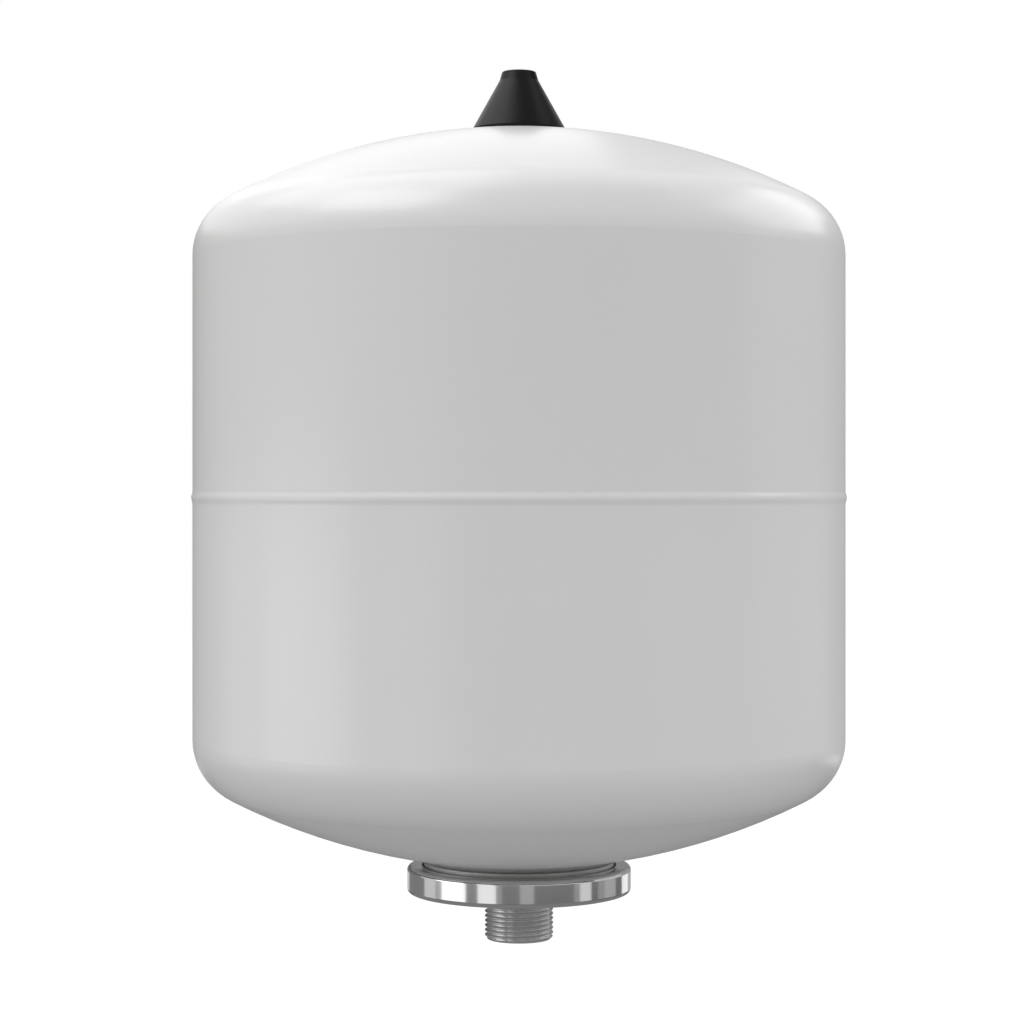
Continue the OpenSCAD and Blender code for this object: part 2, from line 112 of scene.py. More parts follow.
def drawProfile(name, outline):
    # one point, extruded along the outline in the XZ plane
    clearSelection()
    bpy.ops.mesh.primitive_plane_add(size=seedSize)
    piece = nameNew(name)
    bpy.ops.object.mode_set(mode="EDIT")
    bpy.ops.mesh.select_all(action="SELECT")
    bpy.ops.mesh.merge(type="CENTER")
    x, z = outline[0]
    bpy.ops.transform.translate(value=(x, 0, z))
    for nextX, nextZ in outline[1:]:
        bpy.ops.mesh.extrude_region_move(TRANSFORM_OT_translate={"value": (nextX - x, 0, nextZ - z)})
        x, z = nextX, nextZ
    bpy.ops.object.mode_set(mode="OBJECT")
    return piece


def turnProfile(name, outline, steps):
    piece = drawProfile(name, outline)
    selectOnly(piece)
    bpy.ops.object.mode_set(mode="EDIT")
    bpy.ops.mesh.select_all(action="SELECT")
    bpy.ops.mesh.spin(steps=steps, angle=fullTurn, center=(0, 0, 0), axis=(0, 0, 1))
    bpy.ops.object.mode_set(mode="OBJECT")
    cleanMesh(piece)
    return piece


def arc(centre, radius, startDegrees, endDegrees, count):
    angles = [math.radians(startDegrees + (endDegrees - startDegrees) * i / count) for i in range(count + 1)]
    return [(centre[0] + radius * math.cos(a), centre[1] + radius * math.sin(a)) for a in angles]


def placePiece(piece, body, slot, material, *replaced):
    piece.data.materials.clear()
    piece.data.materials.append(material)
    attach(piece, body)
    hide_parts(*replaced)


# Shader helpers

def newMaterial(name):
    material = bpy.data.materials.new(name)
    material.use_nodes = True
    tree = material.node_tree
    return material, tree, tree.nodes["Principled BSDF"]


def addNode(tree, kind, **settings):
    node = tree.nodes.new(kind)
    for key, value in settings.items():
        setattr(node, key, value)
    return node


def link(tree, source, target):
    tree.links.new(source, target)


def setInput(tree, socket, value):
    # a plain number, or another node's output
    if isinstance(value, (int, float)):
        socket.default_value = value
    else:
        link(tree, value, socket)


def math2(tree, operation, first, second=None):
    node = addNode(tree, "ShaderNodeMath", operation=operation)
    setInput(tree, node.inputs[0], first)
    if second is not None:
        setInput(tree, node.inputs[1], second)
    return node.outputs[0]


def ramp(tree, factor, low, high):
    # spreads a 0 to 1 mask over two values
    node = addNode(tree, "ShaderNodeMapRange")
    link(tree, factor, node.inputs["Value"])
    node.inputs["To Min"].default_value = low
    node.inputs["To Max"].default_value = high
    return node.outputs["Result"]


def mixColour(tree, factor, first, second):
    node = addNode(tree, "ShaderNodeMix", data_type="RGBA")
    link(tree, factor, node.inputs["Factor"])
    node.inputs[6].default_value = (*first, 1)
    node.inputs[7].default_value = (*second, 1)
    return node.outputs[2]


def newGroup(name, inputs, outputs):
    group = bpy.data.node_groups.new(name, "ShaderNodeTree")
    for socketName, value in inputs.items():
        socket = group.interface.new_socket(name=socketName, in_out="INPUT", socket_type="NodeSocketFloat")
        socket.default_value = value
    for socketName in outputs:
        group.interface.new_socket(name=socketName, in_out="OUTPUT", socket_type="NodeSocketFloat")
    return group, addNode(group, "NodeGroupInput"), addNode(group, "NodeGroupOutput")


def useGroup(tree, group, **values):
    node = addNode(tree, "ShaderNodeGroup", node_tree=group)
    for key, value in values.items():
        node.inputs[key].default_value = value
    return node


def noise(tree, vector, scale, detail=2.0, roughness=0.5):
    node = addNode(tree, "ShaderNodeTexNoise")
    values = {"Vector": vector, "Scale": scale, "Detail": detail, "Roughness": roughness}
    for key, value in values.items():
        setInput(tree, node.inputs[key], value)
    return node.outputs[0]


def bump(tree, principled, height, strength, distance):
    node = addNode(tree, "ShaderNodeBump")
    node.inputs["Strength"].default_value = strength
    node.inputs["Distance"].default_value = distance
    link(tree, height, node.inputs["Height"])
    link(tree, node.outputs["Normal"], principled.inputs["Normal"])


# Grain: a fine surface texture with slow patches over it
def makeGrain():
    group, inside, outside = newGroup("grain", {"Size": 500.0, "Patch": 20.0}, ["Height", "Patches"])
    place = addNode(group, "ShaderNodeTexCoord").outputs["Object"]
    link(group, noise(group, place, inside.outputs["Size"], 3.0, 0.55), outside.inputs["Height"])
    link(group, noise(group, place, inside.outputs["Patch"], 4.0, 0.6), outside.inputs["Patches"])
    return group


# Turning marks: fine lines that run round the axis of the vessel
def makeTurning():
    group, inside, outside = newGroup("turning", {"Lines": 9000.0, "Patch": 60.0}, ["Height", "Streaks"])
    place = addNode(group, "ShaderNodeTexCoord").outputs["Object"]
    parts = addNode(group, "ShaderNodeSeparateXYZ")
    link(group, place, parts.inputs[0])
    acrossX = math2(group, "POWER", parts.outputs["X"], 2.0)
    acrossY = math2(group, "POWER", parts.outputs["Y"], 2.0)
    radius = math2(group, "SQRT", math2(group, "ADD", acrossX, acrossY))
    flat = addNode(group, "ShaderNodeCombineXYZ")
    link(group, radius, flat.inputs["X"])
    link(group, parts.outputs["Z"], flat.inputs["Y"])
    link(group, noise(group, flat.outputs[0], inside.outputs["Lines"], 2.0), outside.inputs["Height"])
    link(group, noise(group, place, inside.outputs["Patch"], 4.0, 0.6), outside.inputs["Streaks"])
    return group


grain = makeGrain()
turning = makeTurning()


def coatMaterial(name, look):
    material, tree, principled = newMaterial(name)
    texture = useGroup(tree, grain, Size=look["peel"], Patch=look["patch"])
    patches = texture.outputs["Patches"]
    link(tree, mixColour(tree, patches, look["pale"], look["deep"]), principled.inputs["Base Color"])
    link(tree, ramp(tree, patches, *look["roughness"]), principled.inputs["Roughness"])
    bump(tree, principled, texture.outputs["Height"], look["bump"], look["bumpDepth"])
    principled.inputs["Specular IOR Level"].default_value = look.get("gloss", 0.5)
    return material


def metalMaterial(name, look):
    material, tree, principled = newMaterial(name)
    principled.inputs["Metallic"].default_value = 1.0
    texture = useGroup(tree, turning, Lines=look["lines"], Patch=look["patch"])
    streaks = texture.outputs["Streaks"]
    link(tree, mixColour(tree, streaks, look["pale"], look["deep"]), principled.inputs["Base Color"])
    link(tree, ramp(tree, streaks, *look["roughness"]), principled.inputs["Roughness"])
    bump(tree, principled, texture.outputs["Height"], look["bump"], look["bumpDepth"])
    return material


# Finishes, one dictionary each

shellCoat = coatMaterial("shellCoat", {
    "pale": (0.712, 0.712, 0.709), "deep": (0.69, 0.69, 0.686), "roughness": (0.245, 0.272),
    "peel": 420.0, "patch": 14.0, "bump": 0.04, "bumpDepth": 0.0002})
coverPlastic = coatMaterial("coverPlastic", {
    "pale": (0.009, 0.009, 0.0095), "deep": (0.0065, 0.0065, 0.007), "roughness": (0.34, 0.42), "gloss": 0.15,
    "peel": 2600.0, "patch": 90.0, "bump": 0.25, "bumpDepth": 0.0001})
capPlastic = coatMaterial("capPlastic", {
    "pale": (0.03, 0.03, 0.03), "deep": (0.018, 0.018, 0.018), "roughness": (0.4, 0.55),
    "peel": 3200.0, "patch": 200.0, "bump": 0.2, "bumpDepth": 0.00008})
guardPlastic = coatMaterial("guardPlastic", {
    "pale": (0.72, 0.69, 0.60), "deep": (0.64, 0.60, 0.50), "roughness": (0.35, 0.5),
    "peel": 1800.0, "patch": 120.0, "bump": 0.12, "bumpDepth": 0.00008})
corePtfe = coatMaterial("corePtfe", {
    "pale": (0.84, 0.84, 0.82), "deep": (0.77, 0.77, 0.75), "roughness": (0.38, 0.5),
    "peel": 4000.0, "patch": 600.0, "bump": 0.1, "bumpDepth": 0.00003})
sealRubber = coatMaterial("sealRubber", {
    "pale": (0.035, 0.035, 0.036), "deep": (0.02, 0.02, 0.021), "roughness": (0.62, 0.8),
    "peel": 3500.0, "patch": 300.0, "bump": 0.3, "bumpDepth": 0.00006})
bagRubber = coatMaterial("bagRubber", {
    "pale": (0.04, 0.04, 0.042), "deep": (0.018, 0.018, 0.019), "roughness": (0.5, 0.72),
    "peel": 700.0, "patch": 26.0, "bump": 0.3, "bumpDepth": 0.0002})
ringSteel = metalMaterial("ringSteel", {
    "pale": (0.70, 0.70, 0.70), "deep": (0.64, 0.64, 0.645), "roughness": (0.08, 0.14),
    "lines": 6000.0, "patch": 40.0, "bump": 0.05, "bumpDepth": 0.00002})
flangeSteel = metalMaterial("flangeSteel", {
    "pale": (0.62, 0.62, 0.63), "deep": (0.54, 0.54, 0.55), "roughness": (0.28, 0.4),
    "lines": 5000.0, "patch": 60.0, "bump": 0.15, "bumpDepth": 0.00003})
nippleSteel = metalMaterial("nippleSteel", {
    "pale": (0.80, 0.80, 0.80), "deep": (0.69, 0.69, 0.695), "roughness": (0.16, 0.27),
    "lines": 9000.0, "patch": 110.0, "bump": 0.12, "bumpDepth": 0.00002})
neckSteel = metalMaterial("neckSteel", {
    "pale": (0.58, 0.575, 0.57), "deep": (0.50, 0.495, 0.49), "roughness": (0.5, 0.62),
    "lines": 5000.0, "patch": 90.0, "bump": 0.2, "bumpDepth": 0.00004})
valveBrass = metalMaterial("valveBrass", {
    "pale": (0.76, 0.57, 0.27), "deep": (0.64, 0.45, 0.19), "roughness": (0.19, 0.27),
    "lines": 14000.0, "patch": 300.0, "bump": 0.12, "bumpDepth": 0.00002})
pinSteel = metalMaterial("pinSteel", {
    "pale": (0.66, 0.66, 0.66), "deep": (0.55, 0.55, 0.56), "roughness": (0.17, 0.27),
    "lines": 20000.0, "patch": 500.0, "bump": 0.1, "bumpDepth": 0.00001})
finishes = {
    "shell_coat": shellCoat, "neck_steel": neckSteel, "ring_steel": ringSteel, "flange_steel": flangeSteel,
    "nipple_steel": nippleSteel, "bag_rubber": bagRubber, "guard_plastic": guardPlastic,
    "valve_brass": valveBrass, "seal_rubber": sealRubber, "core_ptfe": corePtfe, "pin_steel": pinSteel,
    "cap_plastic": capPlastic, "cover_plastic": coverPlastic}

for part in frame["record"]["subparts"]:
    mesh = nodes[part["node"]].data
    mesh.materials.clear()
    mesh.materials.append(finishes[part["material_slot"]])
print("finishes on", len(nodes), "nodes")


# Helical threads: one pitch of the rounded profile, screwed up the axis

def threadProfile(cut):
    half = math.radians(cut["flank"])
    room = cut["pitch"] / 2 / math.tan(half) - cut["depth"]
    rounding = room / (2 * math.cos(half) / math.tan(half) - 2 * (1 - math.sin(half)))
    root = (cut["crest"] - cut["depth"] + rounding, 0)
    crest = (cut["crest"] - rounding, cut["pitch"] / 2)
    nextRoot = (root[0], cut["pitch"])
    sweep = 90 - cut["flank"]
    count = cut["arcPoints"]
    return (arc(root, rounding, 180, 180 - sweep, count) + arc(crest, rounding, -sweep, sweep, 2 * count)
            + arc(nextRoot, rounding, 180 + sweep, 180, count))


def threadedRod(name, cut, low, high):
    # a rod with the thread all the way along, cut square at both ends
    start = low - cut["pitch"]
    turns = math.ceil((high - low) / cut["pitch"]) + 2
    rod = drawProfile(name, [(x, z + start) for x, z in threadProfile(cut)])
    applyModifier(rod, "SCREW", axis="Z", angle=fullTurn, screw_offset=cut["pitch"], iterations=turns,
                  steps=cut["steps"], render_steps=cut["steps"], use_merge_vertices=True,
                  merge_threshold=closeness["merge"])
    cleanMesh(rod)
    for height, side in ((low, -1), (high, 1)):
        selectOnly(rod)
        bpy.ops.object.mode_set(mode="EDIT")
        bpy.ops.mesh.select_all(action="SELECT")
        bpy.ops.mesh.bisect(plane_co=(0, 0, height), plane_no=(0, 0, side), use_fill=True, clear_outer=True,
                            threshold=closeness["merge"])
        bpy.ops.object.mode_set(mode="OBJECT")
    cleanMesh(rod)
    return rod


# Pipe nipple: threaded end with a chamfer and a run-out, undercut, shoulder and spigot
nippleSizes = {
    "thread": {"crest": 0.0132205, "depth": 0.001162, "pitch": 0.001814, "flank": 27.5, "steps": 72,
               "arcPoints": 3},
    "chamfer": 0.0012, "threadTop": 0.015, "reliefRadius": 0.01202, "reliefChamfer": 0.0006,
    "shoulderLow": 0.017, "shoulderHigh": 0.020, "shoulderRadius": 0.0159985, "edge": 0.0003,
    "spigotRadius": 0.0138985, "top": 0.0232, "boreRadius": 0.0099985, "boreChamfer": 0.0004,
    "counterRadius": 0.0114485, "counterLow": 0.0172, "crestRoom": 0.00002, "runOutPast": 0.0001,
    "past": 0.002, "steps": 96}


def makeNipple(n):
    thread = n["thread"]
    crest = thread["crest"] + n["crestRoom"]
    relief, bevel, beyond = n["reliefRadius"], n["reliefChamfer"], n["runOutPast"]
    runOut = n["threadTop"] + crest - relief
    nipple = threadedRod("pipeNipple", thread, -n["past"], runOut + n["past"])
    envelope = turnProfile("threadEnvelope", [
        (0, 0), (crest - n["chamfer"], 0), (crest, n["chamfer"]), (crest, n["threadTop"]),
        (relief - beyond, runOut + beyond), (0, runOut + beyond)], n["steps"])
    combine(nipple, envelope, "INTERSECT")
    edge, wide = n["edge"], n["shoulderRadius"]
    body = turnProfile("nippleBody", [
        (0, n["threadTop"]), (relief - bevel, n["threadTop"]), (relief, n["threadTop"] + bevel),
        (relief, n["shoulderLow"] - edge), (relief + edge, n["shoulderLow"]),
        (wide - edge, n["shoulderLow"]), (wide, n["shoulderLow"] + edge), (wide, n["shoulderHigh"]),
        (n["spigotRadius"], n["shoulderHigh"]), (n["spigotRadius"], n["top"]), (0, n["top"])], n["steps"])
    combine(nipple, body, "UNION")
    bore = turnProfile("nippleBore", [
        (0, -n["past"]), (n["boreRadius"] + n["boreChamfer"] + n["past"], -n["past"]),
        (n["boreRadius"], n["boreChamfer"]),
        (n["boreRadius"], n["counterLow"]), (n["counterRadius"], n["counterLow"]),
        (n["counterRadius"], n["top"] + n["past"]), (0, n["top"] + n["past"])], n["steps"])
    combine(nipple, bore, "DIFFERENCE")
    cleanMesh(nipple)
    smoothByAngle(nipple, smoothing["turned"])
    placePiece(nipple, "vessel", "nipple_steel", nippleSteel, "connection_nipple")


makeNipple(nippleSizes)
print("pipe nipple threaded")


# Gas valve stem: screwed end, hexagon with chamfered corners, fine thread, stepped bore with a seat.
# Heights are above its lower end.
stemSizes = {
    "thread": {"crest": 0.00385, "depth": 0.00043, "pitch": 0.000794, "flank": 30.0, "steps": 48,
               "arcPoints": 3},
    "screwRadius": 0.00475, "hexRadius": 0.0069282, "hexTurn": 30, "hexLow": 0.0113, "hexHigh": 0.0140,
    "hexChamfer": 0.0004, "top": 0.0210, "topChamfer": 0.00043, "seatRadius": 0.002, "seatLow": 0.0143,
    "seatHigh": 0.0158, "boreRadius": 0.0026, "room": 0.00001, "past": 0.001, "steps": 64}


def makeStem(s):
    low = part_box("valve_stem")[0].z
    hexLow, hexHigh, top = low + s["hexLow"], low + s["hexHigh"], low + s["top"]
    thread, room = s["thread"], s["room"]
    crest = thread["crest"] + room
    stem = threadedRod("gasValveStem", thread, hexLow, top + s["past"])
    envelope = turnProfile("stemEnvelope", [
        (0, hexHigh - s["past"]), (crest, hexHigh - s["past"]), (crest, top - s["topChamfer"]),
        (crest - s["topChamfer"], top), (0, top)], s["steps"])
    combine(stem, envelope, "INTERSECT")
    clearSelection()
    bpy.ops.mesh.primitive_cylinder_add(
        vertices=6, radius=s["hexRadius"], depth=hexHigh - hexLow,
        location=(0, 0, (hexHigh + hexLow) / 2), rotation=(0, 0, math.radians(s["hexTurn"])))
    hexagon = nameNew("stemHexagon")
    bpy.ops.object.transform_apply(location=True, rotation=True, scale=True)
    wide, chamfer = s["hexRadius"] + room, s["hexChamfer"]
    rounding = turnProfile("hexagonRounding", [
        (0, hexLow - s["past"]), (wide - 2 * chamfer, hexLow - room), (wide, hexLow + chamfer),
        (wide, hexHigh - chamfer), (wide - 2 * chamfer, hexHigh + room),
        (0, hexHigh + s["past"])], s["steps"])
    combine(hexagon, rounding, "INTERSECT")
    combine(stem, hexagon, "UNION")
    screwed = turnProfile("stemScrewedEnd", [
        (0, low), (s["screwRadius"] - chamfer, low), (s["screwRadius"], low + chamfer),
        (s["screwRadius"], hexLow + s["past"]), (0, hexLow + s["past"])], s["steps"])
    combine(stem, screwed, "UNION")
    bore = turnProfile("stemBore", [
        (0, low - s["past"]), (s["seatRadius"], low - s["past"]), (s["seatRadius"], low + s["seatLow"]),
        (s["boreRadius"], low + s["seatHigh"]), (s["boreRadius"], top + s["past"]),
        (0, top + s["past"])], s["steps"])
    combine(stem, bore, "DIFFERENCE")
    cleanMesh(stem)
    smoothByAngle(stem, smoothing["turned"])
    placePiece(stem, "vessel", "valve_brass", valveBrass, "valve_stem")


makeStem(stemSizes)
print("gas valve stem threaded")


# Weld beads: a turned section whose outer face carries fine ripples
rippleSteps = 4  # every fourth column of the face is raised


def makeBead(name, outline, bead, slot, material, node):
    steps = bead["ripples"] * rippleSteps
    weld = turnProfile(name, outline, steps)
    selectOnly(weld)
    bpy.ops.object.mode_set(mode="EDIT")
    bpy.ops.mesh.select_all(action="DESELECT")
    bpy.ops.object.mode_set(mode="OBJECT")
    for vertex in weld.data.vertices:
        turn = math.atan2(vertex.co.y, vertex.co.x) / fullTurn * steps
        radius = math.hypot(vertex.co.x, vertex.co.y)
        onFace = any(abs(radius - x) + abs(vertex.co.z - z) < closeness["onFace"]
                     for x, z in outline[bead["faceFrom"]:bead["faceTo"]])
        vertex.select = onFace and round(turn) % rippleSteps == 0
    bpy.ops.object.mode_set(mode="EDIT")
    bpy.ops.transform.shrink_fatten(value=bead["rippleHeight"])
    bpy.ops.object.mode_set(mode="OBJECT")
    smoothByAngle(weld, smoothing["soft"])
    placePiece(weld, "vessel", slot, material, node)


# The seam: a low coated bead that runs out softly into the wall above and below
seamSizes = {"wallRadius": 0.125, "height": 0.00047, "halfWidth": 0.0026, "points": 16, "inset": 0.00004,
             "rootRadius": 0.1236, "rootHalf": 0.0022, "ripples": 300, "rippleHeight": 0.00003,
             "faceFrom": 3, "faceTo": 16}


def seamOutline(s):
    middle = (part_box("seam_weld")[0].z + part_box("seam_weld")[1].z) / 2
    face = []
    for i in range(s["points"] + 1):
        across = 2 * i / s["points"] - 1
        rise = s["height"] * (1 + math.cos(math.pi * across)) / 2
        face.append((s["wallRadius"] - s["inset"] + rise, middle + across * s["halfWidth"]))
    low, high = middle - s["rootHalf"], middle + s["rootHalf"]
    return [(s["rootRadius"], low)] + face + [(s["rootRadius"], high), (s["rootRadius"], low)]


makeBead("seamBead", seamOutline(seamSizes), seamSizes, "shell_coat", shellCoat, "seam_weld")

# Fillet welds: the corner, a slightly full face, and back to the corner
filletWelds = [
    {"name": "neckBead", "node": "neck_weld", "slot": "neck_steel", "material": neckSteel, "ripples": 110,
     "rippleHeight": 0.00012, "fullness": 0.12, "points": 8, "faceFrom": 3, "faceTo": 8},
    {"name": "bossBead", "node": "boss_weld", "slot": "neck_steel", "material": neckSteel, "ripples": 36,
     "rippleHeight": 0.0001, "fullness": 0.12, "points": 8, "faceFrom": 3, "faceTo": 8},
    {"name": "nippleBead", "node": "nipple_weld", "slot": "nipple_steel", "material": nippleSteel,
     "ripples": 48, "rippleHeight": 0.00006, "fullness": 0.1, "points": 8, "faceFrom": 3, "faceTo": 8}]


def filletOutline(weld):
    # three corners of the CAD fillet: on the tube's far end, in the corner and out on the sheet
    shape = nodes[weld["node"]].data.vertices
    places = closeness["digits"]
    rings = sorted({(round(math.hypot(v.co.x, v.co.y), places), round(v.co.z, places)) for v in shape})
    inner, outer = rings[0][0], rings[-1][0]
    sheet = rings[-1]
    tubeSkin = (outer - inner) / 20  # what still counts as on the tube
    onTube = sorted(z for r, z in rings if r - inner < tubeSkin)
    far = (inner, max(onTube, key=lambda z: abs(z - sheet[1])))
    corner = (inner, min(onTube, key=lambda z: abs(z - sheet[1])))
    face = []
    for i in range(weld["points"] + 1):
        t = i / weld["points"]
        bulge = weld["fullness"] * 4 * t * (1 - t)
        x = sheet[0] + (far[0] - sheet[0]) * t
        z = sheet[1] + (far[1] - sheet[1]) * t
        face.append((x + (sheet[0] - corner[0]) * bulge, z + (far[1] - corner[1]) * bulge))
    return [corner] + face + [corner]


for weld in filletWelds:
    makeBead(weld["name"], filletOutline(weld), weld, weld["slot"], weld["material"], weld["node"])
print("weld beads laid:", 1 + len(filletWelds))


# The bag: a turned rubber skin with a clamped bead, soft flutes where it isn't full, and two mould lines
bagSizes = {
    "radius": 0.092, "thickness": 0.002, "straight": 0.033, "neckRadius": 0.0332,
    "neckInRadius": 0.0312, "beadRadius": 0.041, "beadLow": 0.0222, "beadHigh": 0.0244, "fillet": 0.006,
    "filletPoints": 6, "arcPoints": 18, "steps": 240, "columnCosine": 0.99993, "flutes": 8, "fluteDepth": 0.006,
    "fluteReach": 0.030, "fluteLow": 0.115, "fluteHigh": 0.195, "fluteRadius": 0.05, "mouldAngles": (0, 180),
    "mouldHeight": 0.0004, "mouldRise": 0.03}


def bagOutline(b):
    # outer skin from the bead up to the top, inner skin back down
    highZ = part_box("bladder")[1].z - b["radius"]
    lowZ = highZ - b["straight"]
    low, high, count = (0, lowZ), (0, highZ), b["arcPoints"]
    filletX = b["neckRadius"] + b["fillet"]
    filletZ = lowZ - math.sqrt((b["radius"] + b["fillet"]) ** 2 - filletX ** 2)
    meet = math.degrees(math.atan2(filletZ - lowZ, filletX))
    inner = b["radius"] - b["thickness"]
    innerMeet = -math.degrees(math.acos(b["neckInRadius"] / inner))
    outside = [(b["beadRadius"], b["beadLow"]), (b["beadRadius"], b["beadHigh"]),
               (b["neckRadius"], b["beadHigh"])]
    outside += arc((filletX, filletZ), b["fillet"], 180, 180 + meet, b["filletPoints"])
    outside += arc(low, b["radius"], meet, 0, count)[1:] + arc(high, b["radius"], 0, 90, count)
    inside = arc(high, inner, 90, 0, count) + arc(low, inner, 0, innerMeet, count)
    return outside + inside + [(b["neckInRadius"], b["beadLow"]), outside[0]]


def selectColumn(piece, angle, low, high, least):
    # vertices at one angle round the axis, between two heights, outside a radius
    selectOnly(piece)
    bpy.ops.object.mode_set(mode="EDIT")
    bpy.ops.mesh.select_all(action="DESELECT")
    bpy.ops.object.mode_set(mode="OBJECT")
    way = Vector((math.cos(angle), math.sin(angle), 0))
    for vertex in piece.data.vertices:
        radius = math.hypot(vertex.co.x, vertex.co.y)
        vertex.select = (low <= vertex.co.z <= high and radius > least
                         and vertex.co.x * way.x + vertex.co.y * way.y > radius * bagSizes["columnCosine"])
    bpy.ops.object.mode_set(mode="EDIT")
    return way


def makeBag(b):
    bag = turnProfile("rubberBag", bagOutline(b), b["steps"])
    for i in range(b["flutes"]):
        angle = fullTurn * (i + 0.5) / b["flutes"]
        way = selectColumn(bag, angle, b["fluteLow"], b["fluteHigh"], b["fluteRadius"])
        bpy.ops.transform.translate(value=-way * b["fluteDepth"], use_proportional_edit=True,
                                    proportional_size=b["fluteReach"], proportional_edit_falloff="SMOOTH")
    low, high = b["beadHigh"] + b["mouldRise"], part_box("bladder")[1].z + b["radius"]
    for degrees in b["mouldAngles"]:
        selectColumn(bag, math.radians(degrees), low, high, b["neckRadius"])
        bpy.ops.transform.shrink_fatten(value=b["mouldHeight"])
    smoothByAngle(bag, smoothing["soft"])
    placePiece(bag, "vessel", "bag_rubber", bagRubber, "bladder")


makeBag(bagSizes)
print("rubber bag moulded")


# Core spring: round wire screwed up between the barrel's floor and the pin's collar
springSizes = {"wire": 0.00026, "mean": 0.0009, "low": 0.00018, "high": 0.00592, "turns": 7, "sides": 12,
               "steps": 32, "free": 0.0061, "travel": 0.0012}


def barrelFloor():
    press = next(j for j in frame["record"]["behaviour"]["joints"] if j["name"] == "pin_press")
    return press["deforming_nodes"][0]["fixed_end_z_m"]


def makeSpring(s):
    floor = barrelFloor()
    clearSelection()
    bpy.ops.mesh.primitive_circle_add(vertices=s["sides"], radius=s["wire"] / 2,
                                      location=(s["mean"], 0, floor + s["low"]), rotation=(math.pi / 2, 0, 0))
    spring = nameNew("coreSpring")
    bpy.ops.object.transform_apply(location=True, rotation=True, scale=True)
    applyModifier(spring, "SCREW", axis="Z", angle=fullTurn, screw_offset=(s["high"] - s["low"]) / s["turns"],
                  iterations=s["turns"], steps=s["steps"], render_steps=s["steps"], use_merge_vertices=True,
                  merge_threshold=closeness["fineMerge"])
    selectOnly(spring)
    bpy.ops.object.mode_set(mode="EDIT")
    bpy.ops.mesh.select_all(action="SELECT")
    bpy.ops.mesh.fill_holes(sides=s["sides"])
    bpy.ops.object.mode_set(mode="OBJECT")
    cleanMesh(spring, closeness["fineMerge"])
    smoothByAngle(spring, smoothing["soft"])
    placePiece(spring, "vessel", "pin_steel", pinSteel, "core_spring")
    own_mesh(spring)


makeSpring(springSizes)
print("core spring wound")


# Camera: level, in front of the vessel, at the photograph's distance and framing
view = {"distance": 0.9865, "height": 0.1729, "lens": 89.9, "sensor": 36, "imageSize": 1024, "axisPixel": 519.0,
        "horizonPixel": 490}


def placeCamera():
    clearSelection()
    bpy.ops.object.camera_add(location=(0, -view["distance"], view["height"]), rotation=(math.pi / 2, 0, 0))
    camera = bpy.context.object
    camera.name = "photoCamera"
    camera.data.sensor_width = view["sensor"]
    camera.data.lens = view["lens"]
    camera.data.shift_x = (view["imageSize"] / 2 - view["axisPixel"]) / view["imageSize"]
    camera.data.shift_y = (view["horizonPixel"] - view["imageSize"] / 2) / view["imageSize"]
    bpy.context.scene.camera = camera


placeCamera()
print("camera placed")


# Studio. Angles go round the vessel: 0 is the camera's side, 90 its right, 180 behind.
studio = {
    "floorZ": -0.35, "floorSize": 16.0, "floorTone": 0.42, "floorGlow": 0.7, "floorRoughness": 0.9,
    "floorGloss": 0.1, "skyLevel": 0.80, "groundLevel": 0.2, "skyFade": 0.6, "centre": (0, 0, 0.18)}
softBoxes = [
    {"name": "keyBox", "angle": -95, "rise": 62, "distance": 1.3, "width": 1.15, "height": 1.15, "glow": 1.55},
    {"name": "topBox", "angle": 25, "rise": 62, "distance": 1.75, "width": 1.5, "height": 1.0, "glow": 0.65},
    {"name": "backBox", "angle": -165, "rise": 40, "distance": 1.4, "width": 0.9, "height": 0.7, "glow": 0.75},
    {"name": "leftBox", "angle": -72, "rise": -3, "distance": 1.6, "width": 0.9, "height": 0.9, "glow": 1.1},
    {"name": "frontBox", "angle": -26, "rise": -3, "distance": 1.7, "width": 0.9, "height": 0.9, "glow": 1.1},
    {"name": "rightBox", "angle": 75, "rise": -3, "distance": 1.7, "width": 1.5, "height": 0.9, "glow": 1.15}]
# Cards that only reflections see stand round the vessel in tiers, from under the ring up to the crown.
# Each card: from angle, to angle, tone.
cardTiers = [
    {"name": "underCard", "low": -0.34, "high": -0.24, "cards": [(-172, -153, 0.2), (130, 188, 0.25)]},
    {"name": "ringEdgeCard", "low": -0.24, "high": -0.155, "cards": [
        (-172, -153, 0.7), (130, 149, 1.2), (149, 188, 0.5)]},
    {"name": "ringCard", "low": -0.34, "high": -0.155, "cards": [
        (-153, -112, 0.25), (-112, -94, 0.75), (-94, -85, 0.44), (-85, -55, 1.5), (-55, -42, 0.29),
        (-42, -23, 1.15), (-23, -17, 0.38), (-17, 1, 0.22), (1, 15, 0.45), (15, 57, 0.17), (57, 64, 0.32),
        (64, 78, 0.85), (78, 87, 0.15), (87, 97, 0.34), (97, 116, 0.48), (116, 130, 0.18)]},
    {"name": "lowerCard", "low": -0.155, "high": 0.17, "cards": [
        (-172, -118, 0.22), (-118, -92, 0.75), (-92, -57, 2.2), (-57, -44, 0.43), (-44, -25, 1.1),
        (-25, 0, 0.45), (0, 64, 0.77), (64, 82, 0.45), (82, 131, 0.8), (131, 158, 0.4), (158, 188, 0.27)]},
    {"name": "upperCard", "low": 0.17, "high": 0.57, "cards": [
        (-172, -118, 0.12), (-118, 82, 0.03), (82, 131, 0.6)]},
    {"name": "backCard", "low": 0.17, "high": 0.75, "cards": [(131, 158, 0.4), (158, 188, 0.27)]}]
cardStand = {"distance": 1.45, "widest": 40}
